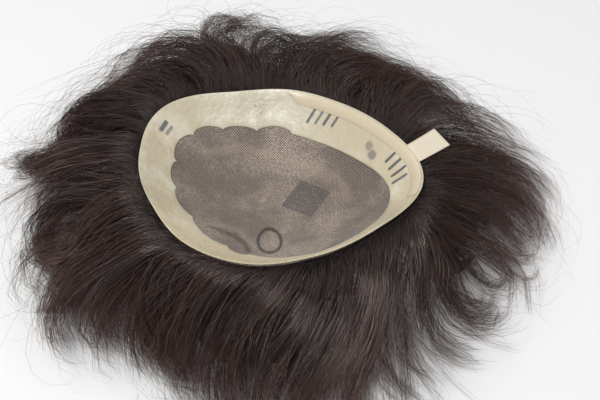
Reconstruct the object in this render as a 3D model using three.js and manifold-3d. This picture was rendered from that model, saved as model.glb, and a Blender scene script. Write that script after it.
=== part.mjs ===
// A toupee hairpiece lying upside down on its own hair, with the scalp side of its base facing up.
// Millimetres, +Z up. The origin is on the surface it lies on, under the middle of the base.
// +X runs along the base to the end that carries the tape tab. Bearings are degrees from +X towards +Y.
import * as THREE from 'three';
import { mergeVertices } from 'three/addons/utils/BufferGeometryUtils.js';
import Module from 'manifold-3d';

const wasm = await Module();
wasm.setup();

// Base: a shallow dish of net with a skin border, shaped to the top of a head
const baseLength = 172; // straight across the rim, along X
const baseWidth = 138; // straight across the rim, along Y
const rimHeight = 57; // mean height of the rim over the surface
const rimTilt = 6; // how much the rim rises at its high side
const rimTiltBearing = -45; // where that high side is
const dishDepth = 36; // from the rim down to the middle of the net
const netThickness = 1;
const skinThickness = 1;
const clearance = 0.3; // between pieces that lie on each other

// Outline of the rim. reach is a share of the ellipse of baseLength and baseWidth. steep says how upright the
// wall stands near the rim, from 0, a plain bowl, to 1, a wall that ends upright. border is a share of
// borderWidth, and skirt of skirtReach.
const rimShape = [
  { bearing: 0, reach: 1.02, steep: 0.78, border: 0.85, skirt: 1.15 },
  { bearing: 30, reach: 0.935, steep: 0.74, border: 1, skirt: 1.2 },
  { bearing: 60, reach: 0.93, steep: 0.74, border: 1, skirt: 1.3 },
  { bearing: 90, reach: 0.98, steep: 0.74, border: 1, skirt: 1.3 },
  { bearing: 120, reach: 0.99, steep: 0.74, border: 1, skirt: 1.3 },
  { bearing: 150, reach: 1.09, steep: 0.74, border: 1, skirt: 1.25 },
  { bearing: 180, reach: 0.95, steep: 0.74, border: 1, skirt: 1.3 },
  { bearing: 210, reach: 0.91, steep: 0.74, border: 1, skirt: 1.1 },
  { bearing: 240, reach: 0.995, steep: 0.76, border: 1.05, skirt: 0.68 },
  { bearing: 270, reach: 1.03, steep: 0.8, border: 0.8, skirt: 0.78 },
  { bearing: 300, reach: 0.98, steep: 0.84, border: 0.4, skirt: 0.8 },
  { bearing: 330, reach: 0.945, steep: 0.84, border: 0.42, skirt: 0.85 },
];

// Skin border: a band inside the rim whose inner edge is cut in scallops round one end
const borderWidth = 20.5; // in plan, from the rim to the inner edge, where border is 1
const scallopDepth = 3.2; // how far a scallop bites into the border
const scallops = [
  { from: 86, to: 113 },
  { from: 113, to: 134 },
  { from: 134, to: 150 },
  { from: 150, to: 171 },
  { from: 171, to: 190 },
  { from: 190, to: 215 },
  { from: 215, to: 250 },
  { from: 250, to: 266 },
];

// Edge tape: a narrow strip on the border along the tab's side of the rim
const edgeTapeWidth = 5;
const edgeTapeInset = 0.8; // from the rim to the strip
const edgeTapeThickness = 0.8;
const edgeTapeFromBearing = -8; // where it starts and ends on the rim
const edgeTapeToBearing = 96;

// Tape tab: a flat strip stuck under the rim that sticks out over the hair
const tabBearing = 14.5; // where it leaves the rim
const tabHeading = 40; // the way it points, in plan
const tabWidth = 15.2;
const tabReach = 20; // from the rim to its free end
const tabGrip = 7; // how much of it is stuck under the base
const tabRise = 2.5; // how much its free end stands above the rim
const tabThickness = 0.8;

// Hair
const hairLength = 150; // of one lock that counts as 1
const lockWidth = 30; // of one lock that counts as 1
const lockThickness = 15;
const rootDrop = 13; // from the rim down to the middle of a lock's root
const rootInset = 14; // how far inside the rim a lock starts
const skirtReach = 48; // how far the mass of hair under the locks stands out past the rim, where skirt is 1

// Locks round the rim. root is the bearing of the root on the rim. lean, sway and curl are the headings at the
// root, the middle and the tip, in degrees anticlockwise of straight out. length and width are shares of
// hairLength and lockWidth. arch and tip are shares of rimHeight: what the middle bulges, and the tip's height.
const locks = [
  { root: -12, lean: -40, sway: -88, curl: -70, length: 0.8, width: 0.9, arch: 0.1, tip: 0.08 },
  { root: -26, lean: -12, sway: -82, curl: -62, length: 0.82, width: 1, arch: 0.14, tip: 0.07 },
  { root: -40, lean: 4, sway: -70, curl: -52, length: 0.84, width: 1, arch: 0.12, tip: 0.06 },
  { root: -53, lean: 10, sway: -62, curl: -34, length: 0.86, width: 1, arch: 0.12, tip: 0.07 },
  { root: -65, lean: -36, sway: -54, curl: 30, length: 0.68, width: 1, arch: 0.2, tip: 0.08 },
  { root: -76, lean: -62, sway: -62, curl: 76, length: 0.6, width: 1, arch: 0.22, tip: 0.07 },
  { root: -88, lean: -58, sway: -66, curl: -25, length: 0.56, width: 0.95, arch: 0.18, tip: 0.06 },
  { root: -98, lean: -62, sway: -18, curl: 112, length: 0.58, width: 0.85, arch: 0.2, tip: 0.06 },
  { root: -107, lean: -64, sway: -50, curl: 40, length: 0.84, width: 0.95, arch: 0.18, tip: 0.07 },
  { root: -118, lean: -56, sway: -36, curl: 28, length: 0.82, width: 0.95, arch: 0.18, tip: 0.07 },
  { root: -130, lean: -46, sway: -14, curl: -84, length: 0.7, width: 0.8, arch: 0.14, tip: 0.1 },
  { root: -141, lean: -32, sway: -12, curl: -80, length: 0.76, width: 0.8, arch: 0.12, tip: 0.1 },
  { root: -154, lean: -22, sway: -5, curl: 190, length: 0.85, width: 1, arch: 0.14, tip: 0.2 },
  { root: -168, lean: -6, sway: -24, curl: 42, length: 0.7, width: 1.05, arch: 0.12, tip: 0.14 },
  { root: 178, lean: 0, sway: 6, curl: -52, length: 0.86, width: 0.9, arch: 0.16, tip: 0.18 },
  { root: 167, lean: -10, sway: 5, curl: 54, length: 0.7, width: 1.1, arch: 0.16, tip: 0.12 },
  { root: 157, lean: -14, sway: 28, curl: 72, length: 0.76, width: 1, arch: 0.16, tip: 0.12 },
  { root: 148, lean: -22, sway: 38, curl: 96, length: 0.84, width: 1, arch: 0.18, tip: 0.16 },
  { root: 140, lean: -42, sway: 38, curl: 122, length: 1.08, width: 1, arch: 0.18, tip: 0.22 },
  { root: 131, lean: -40, sway: 26, curl: 116, length: 1.08, width: 1, arch: 0.18, tip: 0.24 },
  { root: 121, lean: -24, sway: 10, curl: 74, length: 0.86, width: 0.9, arch: 0.18, tip: 0.32 },
  { root: 111, lean: -4, sway: 6, curl: -112, length: 1, width: 0.85, arch: 0.18, tip: 0.36 },
  { root: 100, lean: 16, sway: -18, curl: -80, length: 0.88, width: 0.95, arch: 0.16, tip: 0.34 },
  { root: 88, lean: 40, sway: -28, curl: -58, length: 0.95, width: 1, arch: 0.16, tip: 0.28 },
  { root: 75, lean: 60, sway: -24, curl: -62, length: 1.02, width: 1, arch: 0.14, tip: 0.22 },
  { root: 62, lean: 72, sway: -8, curl: -68, length: 0.98, width: 1, arch: 0.14, tip: 0.2 },
  { root: 50, lean: 70, sway: 4, curl: -70, length: 0.92, width: 1, arch: 0.12, tip: 0.2 },
  { root: 38, lean: 74, sway: 26, curl: -52, length: 0.84, width: 1.1, arch: 0.06, tip: 0.2 },
  { root: 24, lean: 40, sway: 22, curl: -76, length: 0.98, width: 1.2, arch: 0.1, tip: 0.12 },
  { root: 13, lean: 18, sway: 18, curl: -80, length: 0.88, width: 1.2, arch: 0.1, tip: 0.1 },
  { root: 5, lean: 22, sway: 6, curl: -86, length: 0.8, width: 1.2, arch: 0.1, tip: 0.08 },
  { root: -2, lean: 6, sway: 22, curl: 4, length: 0.72, width: 1.15, arch: 0.12, tip: 0.06 },
  { root: -8, lean: -24, sway: 8, curl: 34, length: 0.66, width: 1.1, arch: 0.1, tip: 0.06 },
];

// Slope of the mass of hair, from the rim outwards. out is a share of its reach, level of the rim's height.
const slope = [
  { out: 0.05, level: 0.88 },
  { out: 0.3, level: 0.7 },
  { out: 0.6, level: 0.44 },
  { out: 0.86, level: 0.2 },
  { out: 1, level: 0.07 },
  { out: 0.93, level: 0 },
];

// Facets
const baseFacets = 72; // round the net and the hair mat
const borderFacets = 108; // round the border, so that each scallop has its curve
const dishRings = [0.25, 0.46, 0.64, 0.78, 0.9, 1]; // shares of the way out to the rim
const borderRings = 3;
const lockSides = 7;
const lockSteps = 9;

const radians = THREE.MathUtils.degToRad;
const wrap = (value, size) => ((value % size) + size) % size;

// A smooth value round the rim from the rows of a table that are spaced evenly in bearing.
function roundRim(rows, column, bearing) {
  const step = 360 / rows.length;
  const place = wrap(bearing - rows[0].bearing, 360) / step;
  const row = Math.floor(place);
  const t = place - row;
  const [a, b, c, d] = [-1, 0, 1, 2].map((k) => rows[wrap(row + k, rows.length)][column]);
  return b + 0.5 * t * (c - a + t * (2 * a - 5 * b + 4 * c - d + t * (3 * (b - c) + d - a)));
}

// Distance in plan from the middle of the base to the rim.
function rimReach(bearing) {
  const x = Math.cos(radians(bearing)) / (baseLength / 2);
  const y = Math.sin(radians(bearing)) / (baseWidth / 2);
  return roundRim(rimShape, 'reach', bearing) / Math.hypot(x, y);
}

const rimLevel = (bearing) => rimHeight + rimTilt * Math.cos(radians(bearing - rimTiltBearing));

// A point of the net's scalp face. share runs from 0 at the middle to 1 at the rim.
function dishPoint(share, bearing) {
  const steep = roundRim(rimShape, 'steep', bearing);
  const upright = Math.sqrt(1 - steep ** 2);
  const climb = (1 - Math.sqrt(1 - (steep * share) ** 2)) / (1 - upright);
  const reach = share * rimReach(bearing);
  const tilt = share * (rimLevel(bearing) - rimHeight);
  return new THREE.Vector3(
    reach * Math.cos(radians(bearing)),
    reach * Math.sin(radians(bearing)),
    rimHeight - dishDepth * (1 - climb) + tilt,
  );
}

// The same point moved square to the face: above 0 towards the scalp, below 0 towards the hair.
function dishOffset(share, bearing, offset) {
  const near = 0.002;
  const point = dishPoint(share, bearing);
  const out = dishPoint(share + near, bearing).sub(dishPoint(share - near, bearing));
  const round = dishPoint(share, bearing + 0.5).sub(dishPoint(share, bearing - 0.5));
  const normal = out.cross(round).normalize();
  return point.addScaledVector(normal, offset);
}

const bearingsRound = (facets) => Array.from({ length: facets }, (_, i) => (360 * i) / facets);
const ringAt = (share, offset, facets) => bearingsRound(facets).map((b) => dishOffset(share, b, offset));
const poleAt = (offset) => [new THREE.Vector3(0, 0, rimHeight - dishDepth + offset)];

// A closed surface through rings of points, each ring as long as the next or a single point.
// joined also connects the last ring to the first.
function loft(rings, joined = false) {
  const positions = rings.flat().flatMap((p) => [p.x, p.y, p.z]);
  const starts = rings.map((_, i) => rings.slice(0, i).reduce((sum, ring) => sum + ring.length, 0));
  const index = [];
  const face = (a, b, c) => {
    if (a !== b && b !== c && c !== a) index.push(a, b, c);
  };
  for (let i = 0; i < rings.length - (joined ? 0 : 1); i++) {
    const next = (i + 1) % rings.length;
    const count = Math.max(rings[i].length, rings[next].length);
    for (let j = 0; j < count; j++) {
      const at = (ring, k) => starts[ring] + (k % rings[ring].length);
      face(at(i, j), at(i, j + 1), at(next, j + 1));
      face(at(i, j), at(next, j + 1), at(next, j));
    }
  }
  const geometry = new THREE.BufferGeometry();
  geometry.setAttribute('position', new THREE.Float32BufferAttribute(positions, 3));
  geometry.setIndex(volumeOf(positions, index) < 0 ? index.reverse() : index);
  return geometry;
}

function volumeOf(positions, index) {
  const corner = (i) => new THREE.Vector3().fromArray(positions, 3 * index[i]);
  let sum = 0;
  for (let i = 0; i < index.length; i += 3) {
    sum += corner(i).dot(corner(i + 1).cross(corner(i + 2)));
  }
  return sum / 6;
}

function toSolid(geometry) {
  const merged = mergeVertices(geometry);
  return new wasm.Manifold(new wasm.Mesh({
    numProp: 3,
    vertProperties: new Float32Array(merged.attributes.position.array),
    triVerts: new Uint32Array(merged.index.array),
  }));
}

function fromSolid(solid) {
  const mesh = solid.getMesh();
  const geometry = new THREE.BufferGeometry();
  geometry.setAttribute('position', new THREE.BufferAttribute(new Float32Array(mesh.vertProperties), 3));
  geometry.setIndex(new THREE.BufferAttribute(new Uint32Array(mesh.triVerts), 1));
  return geometry;
}

// The net: one thin dish out to the rim.
function netGeometry() {
  const face = (offset) => dishRings.map((share) => ringAt(share, offset, baseFacets));
  return loft([poleAt(0), ...face(0), ...face(-netThickness).reverse(), poleAt(-netThickness)]);
}

// How far in from the rim the border's inner edge lies, as a share of the way from the middle.
function borderEdge(bearing) {
  const lobe = scallops.find(({ from, to }) => wrap(bearing, 360) >= from && wrap(bearing, 360) < to);
  const place = lobe ? (wrap(bearing, 360) - lobe.from) / (lobe.to - lobe.from) : 0;
  const bite = scallopDepth * Math.sqrt(Math.sin(Math.PI * place));
  return 1 - (borderWidth * roundRim(rimShape, 'border', bearing) - bite) / rimReach(bearing);
}

// Bearings round the border, with one on each point between two scallops.
function borderBearings() {
  const marks = [...scallops.map(({ from }) => from), scallops.at(-1).to];
  return bearingsRound(borderFacets).map((bearing) => {
    const mark = marks.find((m) => Math.abs(m - bearing) <= 180 / borderFacets);
    return mark ?? bearing;
  });
}

function borderGeometry() {
  const bearings = borderBearings();
  const ring = (place, offset) => bearings.map((bearing) => {
    const edge = borderEdge(bearing);
    return dishOffset(edge + (1 - edge) * place, bearing, offset);
  });
  const places = Array.from({ length: borderRings + 1 }, (_, i) => i / borderRings);
  const top = places.map((place) => ring(place, clearance + skinThickness));
  const underside = places.map((place) => ring(place, clearance)).reverse();
  return loft([...top, ...underside], true);
}

// A flat-section strip along the rim, on the border.
function edgeTapeGeometry() {
  const low = clearance * 2 + skinThickness;
  const high = low + edgeTapeThickness;
  const steps = Math.round((edgeTapeToBearing - edgeTapeFromBearing) / (360 / borderFacets));
  const sections = Array.from({ length: steps + 1 }, (_, i) => {
    const bearing = edgeTapeFromBearing + ((edgeTapeToBearing - edgeTapeFromBearing) * i) / steps;
    const outer = 1 - edgeTapeInset / rimReach(bearing);
    const inner = outer - edgeTapeWidth / rimReach(bearing);
    return [
      dishOffset(inner, bearing, low),
      dishOffset(outer, bearing, low),
      dishOffset(outer, bearing, high),
      dishOffset(inner, bearing, high),
    ];
  });
  return loft([[middleOf(sections[0])], ...sections, [middleOf(sections.at(-1))]]);
}

function middleOf(points) {
  return points.reduce((sum, p) => sum.add(p), new THREE.Vector3()).divideScalar(points.length);
}

// The tab follows the underside of the base up to the rim and runs straight out from there.
// grow widens it all round, for the pocket that it needs in the hair.
function tabGeometry(grow = 0) {
  const heading = new THREE.Vector3(Math.cos(radians(tabHeading)), Math.sin(radians(tabHeading)), 0);
  const across = new THREE.Vector3(-heading.y, heading.x, 0);
  const columns = 4;
  const perDegree = (radians(1) * rimReach(tabBearing)) / Math.cos(radians(tabHeading - tabBearing));
  const top = -netThickness - clearance + grow;
  const low = -netThickness - clearance - tabThickness - grow;
  const sheet = (offset) => Array.from({ length: columns + 1 }, (_, i) => {
    const side = (i / columns - 0.5) * (tabWidth + 2 * grow);
    const bearing = tabBearing + side / perDegree;
    const stuck = [1, 0.5].map((k) => dishOffset(1 - (k * (tabGrip + grow)) / rimReach(bearing), bearing, offset));
    const middle = dishOffset(1, tabBearing, offset);
    const run = tabReach + grow;
    const end = middle.clone().addScaledVector(heading, run).addScaledVector(across, side);
    end.z += tabRise;
    const edge = dishOffset(1, bearing, offset);
    return [...stuck, edge, edge.clone().lerp(end, 0.3), end];
  });
  const upper = sheet(top);
  const lower = sheet(low);
  const sections = upper[0].map((_, k) => [
    ...upper.map((column) => column[k]),
    ...lower.map((column) => column[k]).reverse(),
  ]);
  return loft([[middleOf(sections[0])], ...sections, [middleOf(sections.at(-1))]]);
}

// The mass of hair under the locks: it carries the base, and slopes from the rim down to the surface.
function massSolid() {
  const under = -netThickness - clearance;
  const side = slope.map(({ out, level }) => bearingsRound(baseFacets).map((bearing) => {
    const reach = rimReach(bearing) + out * skirtReach * roundRim(rimShape, 'skirt', bearing);
    const way = radians(bearing);
    return new THREE.Vector3(reach * Math.cos(way), reach * Math.sin(way), level * rimLevel(bearing));
  }));
  const top = dishRings.map((share) => ringAt(share, under, baseFacets));
  return toSolid(loft([poleAt(under), ...top, ...side, [new THREE.Vector3()]]));
}

// The line through the three values of a lock's row, at a share of the lock's length.
function bendAt(a, b, c, share) {
  return a * (1 - share) * (1 - 2 * share) + 4 * b * share * (1 - share) + c * share * (2 * share - 1);
}

// Centre points of a lock, from its root inside the mat to its tip.
function lockPath(lock) {
  const start = rimReach(lock.root) - rootInset;
  const way = radians(lock.root);
  const step = (lock.length * hairLength) / lockSteps;
  const at = new THREE.Vector3(start * Math.cos(way), start * Math.sin(way), 0);
  const from = rimLevel(lock.root) - rootDrop;
  return Array.from({ length: lockSteps + 1 }, (_, i) => {
    const share = i / lockSteps;
    const ease = THREE.MathUtils.smoothstep(share, 0, 1);
    const arch = 4 * lock.arch * rimHeight * share * (1 - share);
    const point = at.clone().setZ(THREE.MathUtils.lerp(from, lock.tip * rimHeight, ease) + arch);
    const heading = radians(lock.root + bendAt(lock.lean, lock.sway, lock.curl, share + 0.5 / lockSteps));
    at.add(new THREE.Vector3(step * Math.cos(heading), step * Math.sin(heading), 0));
    return point;
  });
}

// A lock is a flat rounded bundle that swells a little and runs out to a point. It never dips under the surface.
function lockSolid(lock) {
  const path = lockPath(lock);
  const sections = path.slice(0, -1).map((centre, i) => {
    const share = i / lockSteps;
    const swell = (0.62 + 0.38 * Math.sin(Math.PI * share)) * Math.sqrt(1 - share ** 3);
    const ahead = path[i + 1].clone().sub(path[Math.max(i - 1, 0)]).normalize();
    const side = new THREE.Vector3(-ahead.y, ahead.x, 0).normalize();
    const up = ahead.clone().cross(side);
    return Array.from({ length: lockSides }, (_, k) => {
      const turn = (2 * Math.PI * (k + 0.25)) / lockSides;
      const point = centre.clone()
        .addScaledVector(side, 0.5 * lockWidth * lock.width * swell * Math.cos(turn))
        .addScaledVector(up, 0.5 * lockThickness * swell * Math.sin(turn));
      return point.setZ(Math.max(point.z, 0));
    });
  });
  return toSolid(loft([[middleOf(sections[0])], ...sections, [path.at(-1)]]));
}

// The room that the base takes above the mat, which no hair reaches into.
function hollowSolid() {
  const under = -netThickness - clearance;
  const open = rimHeight + rimTilt + lockThickness;
  const inside = dishRings.map((share) => ringAt(share, under, baseFacets));
  const outside = [0, 1].map((k) => bearingsRound(baseFacets).map((bearing) => {
    const way = radians(bearing);
    const reach = rimReach(bearing) + netThickness + clearance;
    const level = k ? open : dishOffset(1, bearing, under).z;
    return new THREE.Vector3(reach * Math.cos(way), reach * Math.sin(way), level);
  }));
  return toSolid(loft([poleAt(under), ...inside, ...outside, [new THREE.Vector3(0, 0, open)]]));
}

function hairGeometry() {
  let hair = massSolid();
  for (const lock of locks) hair = hair.add(lockSolid(lock));
  hair = hair.subtract(hollowSolid()).subtract(toSolid(tabGeometry(clearance)));
  return fromSolid(hair);
}

const netMaterial = new THREE.MeshStandardMaterial({ color: 0x8a7c6e, roughness: 0.85 });
const skinMaterial = new THREE.MeshStandardMaterial({ color: 0xd8cfb4, roughness: 0.45 });
const tapeMaterial = new THREE.MeshStandardMaterial({ color: 0xe0cdb4, roughness: 0.4 });
const hairMaterial = new THREE.MeshStandardMaterial({ color: 0x2a201d, roughness: 0.5 });

function piece(name, geometry, material) {
  const mesh = new THREE.Mesh(geometry, material);
  mesh.name = name;
  geometry.computeVertexNormals();
  return mesh;
}

const toupee = new THREE.Group();
toupee.add(
  piece('lace_net', netGeometry(), netMaterial),
  piece('skin_border', borderGeometry(), skinMaterial),
  piece('edge_tape', edgeTapeGeometry(), tapeMaterial),
  piece('tape_tab', tabGeometry(), tapeMaterial),
  piece('hair', hairGeometry(), hairMaterial),
);

export default toupee;
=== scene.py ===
import math

import bpy
import numpy as np
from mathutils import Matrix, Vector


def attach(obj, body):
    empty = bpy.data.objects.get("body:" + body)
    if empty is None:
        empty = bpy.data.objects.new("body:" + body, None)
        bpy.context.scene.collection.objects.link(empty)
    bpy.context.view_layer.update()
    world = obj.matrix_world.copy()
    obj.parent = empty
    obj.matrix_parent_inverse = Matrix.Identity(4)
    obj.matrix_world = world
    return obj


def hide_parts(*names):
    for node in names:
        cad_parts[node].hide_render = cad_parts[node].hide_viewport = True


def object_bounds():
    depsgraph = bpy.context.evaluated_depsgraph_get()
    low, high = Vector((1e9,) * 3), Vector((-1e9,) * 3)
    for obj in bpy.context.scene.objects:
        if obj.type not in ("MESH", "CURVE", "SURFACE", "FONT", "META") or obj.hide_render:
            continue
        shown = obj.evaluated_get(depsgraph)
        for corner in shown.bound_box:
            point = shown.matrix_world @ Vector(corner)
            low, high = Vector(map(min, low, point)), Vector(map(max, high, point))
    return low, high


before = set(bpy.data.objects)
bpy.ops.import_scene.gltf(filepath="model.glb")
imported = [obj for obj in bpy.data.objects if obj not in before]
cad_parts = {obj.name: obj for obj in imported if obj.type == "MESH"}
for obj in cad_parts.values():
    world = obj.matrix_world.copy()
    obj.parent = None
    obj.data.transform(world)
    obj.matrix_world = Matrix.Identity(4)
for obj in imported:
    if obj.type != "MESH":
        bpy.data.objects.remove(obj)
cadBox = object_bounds()
scene = bpy.context.scene
print("frame loaded")

rng = np.random.default_rng(7)


# meshes
def newPiece(name, points, faces, material, slot, **values):
    # points are rows of x, y, z in millimetres and faces rows of corner numbers. values are
    # named numbers per point, for the material to read.
    mesh = bpy.data.meshes.new(name)
    sides = faces.shape[1]
    mesh.vertices.add(len(points))
    mesh.vertices.foreach_set("co", (points / 1000).astype(np.float32).ravel())
    mesh.loops.add(faces.size)
    mesh.loops.foreach_set("vertex_index", faces.astype(np.int32).ravel())
    mesh.polygons.add(len(faces))
    mesh.polygons.foreach_set("loop_start", np.arange(0, faces.size, sides, dtype=np.int32))
    mesh.update(calc_edges=True)
    mesh.shade_smooth()
    for key, numbers in values.items():
        layer = mesh.attributes.new(key, "FLOAT", "POINT")
        layer.data.foreach_set("value", numbers.astype(np.float32).ravel())
    mesh.materials.append(material)
    piece = bpy.data.objects.new(name, mesh)
    scene.collection.objects.link(piece)
    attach(piece, "root")
    return piece


def volumeSign(points, faces):
    # the sum over the faces of the corner products: it is below 0 where they face inwards
    a, b, c = (points[faces[:, k]] for k in range(3))
    return np.sign(np.einsum("ij,ij->i", a, np.cross(b, c)).sum())


def closedLoft(rings, joined=False):
    # rings is an array of rings by points by 3. Two triangles close each gap between
    # neighbours. The ends meet in their middle points, or joined links the last ring to the first.
    count, around = rings.shape[:2]
    i, j = np.meshgrid(np.arange(count if joined else count - 1), np.arange(around), indexing="ij")
    i, j = i.ravel(), j.ravel()
    nextI, nextJ = (i + 1) % count, (j + 1) % around
    a, b, c, d = i * around + j, i * around + nextJ, nextI * around + nextJ, nextI * around + j
    faces = [np.stack([a, b, c], 1), np.stack([a, c, d], 1)]
    points = rings.reshape(-1, 3)
    if not joined:
        first, last = len(points), len(points) + 1
        points = np.concatenate([points, rings[:1].mean(1), rings[-1:].mean(1)])
        j = np.arange(around)
        k = (j + 1) % around
        start = (count - 1) * around
        faces.append(np.stack([k, j, np.full(around, first)], 1))
        faces.append(np.stack([start + j, start + k, np.full(around, last)], 1))
    faces = np.concatenate(faces)
    return points, faces if volumeSign(points, faces) > 0 else faces[:, ::-1]


def smoothStep(low, high, x):
    t = np.clip((x - low) / (high - low), 0, 1)
    return t * t * (3 - 2 * t)


# shader helpers
def addNode(tree, kind, inputs=None, **settings):
    node = tree.nodes.new(kind)
    for key, value in settings.items():
        setattr(node, key, value)
    for key, value in (inputs or {}).items():
        if isinstance(value, bpy.types.NodeSocket):
            tree.links.new(value, node.inputs[key])
        else:
            node.inputs[key].default_value = value
    return node


def maths(tree, operation, a, b=0.0, c=0.0, clamp=False):
    node = addNode(tree, "ShaderNodeMath", {0: a, 1: b, 2: c}, operation=operation, use_clamp=clamp)
    return node.outputs[0]


def vectorMaths(tree, operation, a, b=(0, 0, 0), scale=1.0, out=0):
    node = addNode(tree, "ShaderNodeVectorMath", {0: a, 1: b, 3: scale}, operation=operation)
    return node.outputs[out]


def mixColour(tree, factor, a, b):
    return addNode(tree, "ShaderNodeMix", {0: factor, 6: a, 7: b}, data_type="RGBA").outputs[2]


def rangeOf(tree, value, low, high, toLow=0.0, toHigh=1.0):
    inputs = {"Value": value, "From Min": low, "From Max": high, "To Min": toLow, "To Max": toHigh}
    return addNode(tree, "ShaderNodeMapRange", inputs, interpolation_type="SMOOTHSTEP").outputs[0]


def millimetres(tree):
    coordinates = addNode(tree, "ShaderNodeTexCoord").outputs["Object"]
    return vectorMaths(tree, "SCALE", coordinates, scale=1000.0)


def newMaterial(name, constants):
    material = bpy.data.materials.new(name)
    material.use_nodes = True
    surface = material.node_tree.nodes["Principled BSDF"]
    for key, value in constants.items():
        surface.inputs[key].default_value = value
    return material, material.node_tree, surface


def perPoint(tree, name):
    # a number that the mesh holds for each of its points
    return addNode(tree, "ShaderNodeAttribute", attribute_name=name).outputs["Fac"]


def tinted(tree, colour, tints):
    # tints laid over a colour in turn. Each is a value, the range that it is read over with the
    # strength at both of its ends, and the tint's own colour.
    for value, span, tint in tints:
        colour = mixColour(tree, rangeOf(tree, value, *span), colour, tint)
    return colour


def addBump(tree, surface, height, strength, distance):
    bump = addNode(tree, "ShaderNodeBump", {"Height": height, "Strength": strength, "Distance": distance})
    tree.links.new(bump.outputs[0], surface.inputs["Normal"])


def turnedPlace(tree, place, angle):
    return addNode(tree, "ShaderNodeVectorRotate", {"Vector": place, "Angle": angle},
                   rotation_type="Z_AXIS").outputs[0]


def penStroke(tree, place, start, end, width):
    # a soft-edged straight stroke: how near a place is to the line from start to end
    line = vectorMaths(tree, "SUBTRACT", (*end, 0), (*start, 0))
    off = vectorMaths(tree, "SUBTRACT", place, (*start, 0))
    share = maths(tree, "DIVIDE", vectorMaths(tree, "DOT_PRODUCT", line, off, out=1),
                  vectorMaths(tree, "DOT_PRODUCT", line, line, out=1), clamp=True)
    nearest = vectorMaths(tree, "SCALE", line, scale=share)
    gap = vectorMaths(tree, "LENGTH", vectorMaths(tree, "SUBTRACT", off, nearest), out=1)
    return rangeOf(tree, gap, 0.2 * width, 0.5 * width, 1.0, 0.0)


def wovenThreads(tree, place, pitch, turn):
    # the higher of two sine waves that cross at right angles
    parts = addNode(tree, "ShaderNodeSeparateXYZ", {0: turnedPlace(tree, place, turn)}).outputs
    waves = [maths(tree, "SINE", maths(tree, "MULTIPLY", parts[k], math.tau / pitch)) for k in (0, 1)]
    return maths(tree, "MULTIPLY_ADD", maths(tree, "MAXIMUM", *waves), 0.5, 0.5)


def mottle(tree, place, size):
    # uneven tone over a surface: clouds of a size, and specks a seventh as large
    inputs = {"Vector": place, "Detail": 4.0, "Roughness": 0.55}
    return [addNode(tree, "ShaderNodeTexNoise", {**inputs, "Scale": factor / size}).outputs[0]
            for factor in (1.0, 7.0)]


# the base's dish
dish = {
    "length": 172,
    "width": 138,
    "rimHeight": 57,
    "rimTilt": 6,
    "rimTiltBearing": -45,
    "depth": 36,
    # every 30 degrees from 0: reach as a share of the ellipse, steepness, border, skirt
    "rim": np.array([
        (1.02, 0.78, 0.85, 1.15), (0.935, 0.74, 1, 1.2), (0.93, 0.74, 1, 1.3), (0.98, 0.74, 1, 1.3),
        (0.99, 0.74, 1, 1.3), (1.09, 0.74, 1, 1.25), (0.95, 0.74, 1, 1.3), (0.91, 0.74, 1, 1.1),
        (0.995, 0.76, 1.05, 0.68), (1.03, 0.8, 0.8, 0.78), (0.98, 0.84, 0.4, 0.8),
        (0.945, 0.84, 0.42, 0.85),
    ]),
}


def roundRim(column, bearing):
    # a smooth curve through the table's rows: each stretch is a cubic whose slope at a row
    # is half the difference of that row's neighbours
    rows = dish["rim"][:, column]
    place = np.mod(bearing, 360) * len(rows) / 360
    row = np.floor(place).astype(int)
    t = place - row
    a, b, c, d = (rows[np.mod(row + k, len(rows))] for k in (-1, 0, 1, 2))
    return b + 0.5 * t * (c - a + t * (2 * a - 5 * b + 4 * c - d + t * (3 * (b - c) + d - a)))


def rimReach(bearing):
    # the ellipse's radius at the bearing, times the table's share
    way = np.radians(bearing)
    ellipse = np.hypot(np.cos(way) / (dish["length"] / 2), np.sin(way) / (dish["width"] / 2))
    return roundRim(0, bearing) / ellipse


def rimLevel(bearing):
    tilt = np.cos(np.radians(bearing - dish["rimTiltBearing"]))
    return dish["rimHeight"] + dish["rimTilt"] * tilt


def dishLevel(share, bearing):
    # the rim's height less the depth, plus an elliptic climb towards the rim, plus the tilt
    steep = roundRim(1, bearing)
    climb = 1 - np.sqrt(np.clip(1 - (steep * share) ** 2, 0.01, 1))
    climb = climb / (1 - np.sqrt(1 - steep**2))
    tilt = share * (rimLevel(bearing) - dish["rimHeight"])
    return dish["rimHeight"] - dish["depth"] * (1 - climb) + tilt


def dishPoint(share, bearing, offset=0.0):
    # the point of the dish, moved by offset along the cross product of its two slopes
    def plain(s, b):
        r, way = s * rimReach(b), np.radians(b)
        return np.stack([r * np.cos(way), r * np.sin(way), dishLevel(s, b)], -1)

    share, bearing = np.broadcast_arrays(share, bearing)
    out = plain(share + 0.002, bearing) - plain(share - 0.002, bearing)
    side = plain(share, bearing + 0.5) - plain(share, bearing - 0.5)
    normal = np.cross(out, side)
    normal /= np.linalg.norm(normal, axis=-1, keepdims=True)
    return plain(share, bearing) + normal * np.asarray(offset)[..., None]


def distanceToLine(x, y, corners):
    # the least distance in plan from each place to a line through the corners
    best = np.full(np.shape(x), 1e9)
    for (ax, ay), (bx, by) in zip(corners[:-1], corners[1:]):
        dx, dy = bx - ax, by - ay
        t = np.clip(((x - ax) * dx + (y - ay) * dy) / (dx * dx + dy * dy), 0, 1)
        best = np.minimum(best, np.hypot(x - ax - t * dx, y - ay - t * dy))
    return best


# skin border
border = {
    "width": 20.5,
    "scallopDepth": 3.2,
    "scallops": [86, 113, 134, 150, 171, 190, 215, 250, 266],
    "offset": 0.35,
    "thickness": 0.85,
    # it ends at this share of the rim's reach
    "reach": 1.003,
    # the least rise of its arch, and how much of a full arch is cut off flat
    "leastRise": 0.12,
    "fullness": 1.15,
    "ripple": 0.12,
    "lip": 0.12,
    "around": 600,
    "across": 12,
}



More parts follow.
